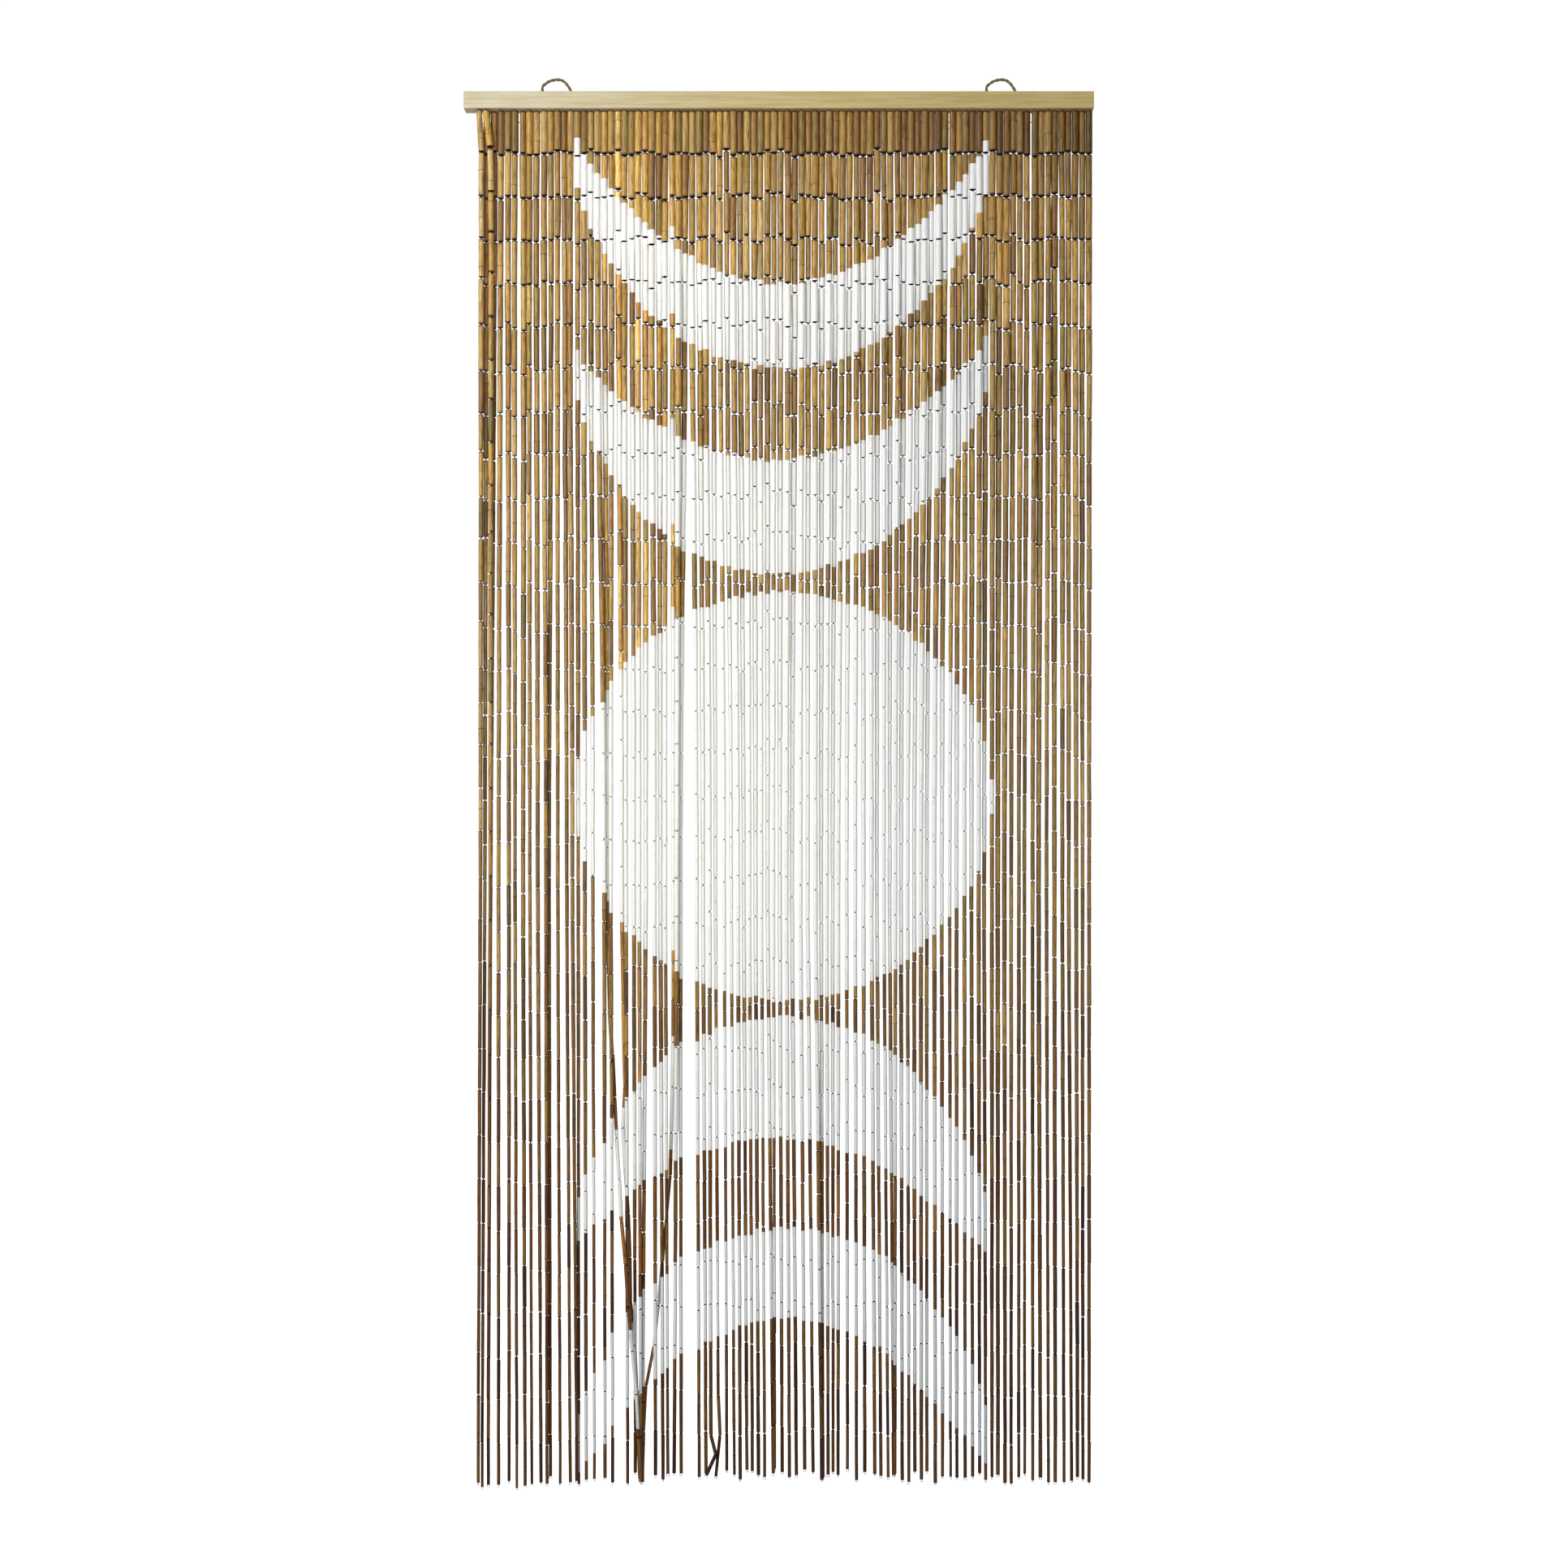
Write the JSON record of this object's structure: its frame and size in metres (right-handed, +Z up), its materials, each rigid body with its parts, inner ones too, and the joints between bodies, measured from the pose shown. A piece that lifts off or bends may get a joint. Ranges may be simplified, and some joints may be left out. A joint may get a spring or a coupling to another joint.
{
  "type": "bamboo bead curtain with wooden batten",
  "caption": "Hanging door curtain: strands of bamboo tube beads on a straight wooden batten with rope hanging loops, painted with pale moon phases.",
  "frame": {"origin": "midway between the two rope loops, level with the inside of their crowns, where the hooks bear", "axes": "+X along the batten to the right as seen from the front, +Y to the back, +Z up; the painted front faces -Y"},
  "size_m": [0.9003, 0.0221, 2.0195],
  "materials": {
    "pine": "sawn and planed pale softwood, unfinished",
    "bamboo": "natural bamboo skin, satin, partly painted matt white",
    "jute": "two-ply twisted rope, matt",
    "wire": "drawn steel wire, dull grey"
  },
  "bodies": {
    "root": {"batten": "pine", "rope_loop_left": "jute", "rope_loop_right": "jute", "strands": "bamboo", "spacing_wire": "wire"}
  },
  "joints": []
}
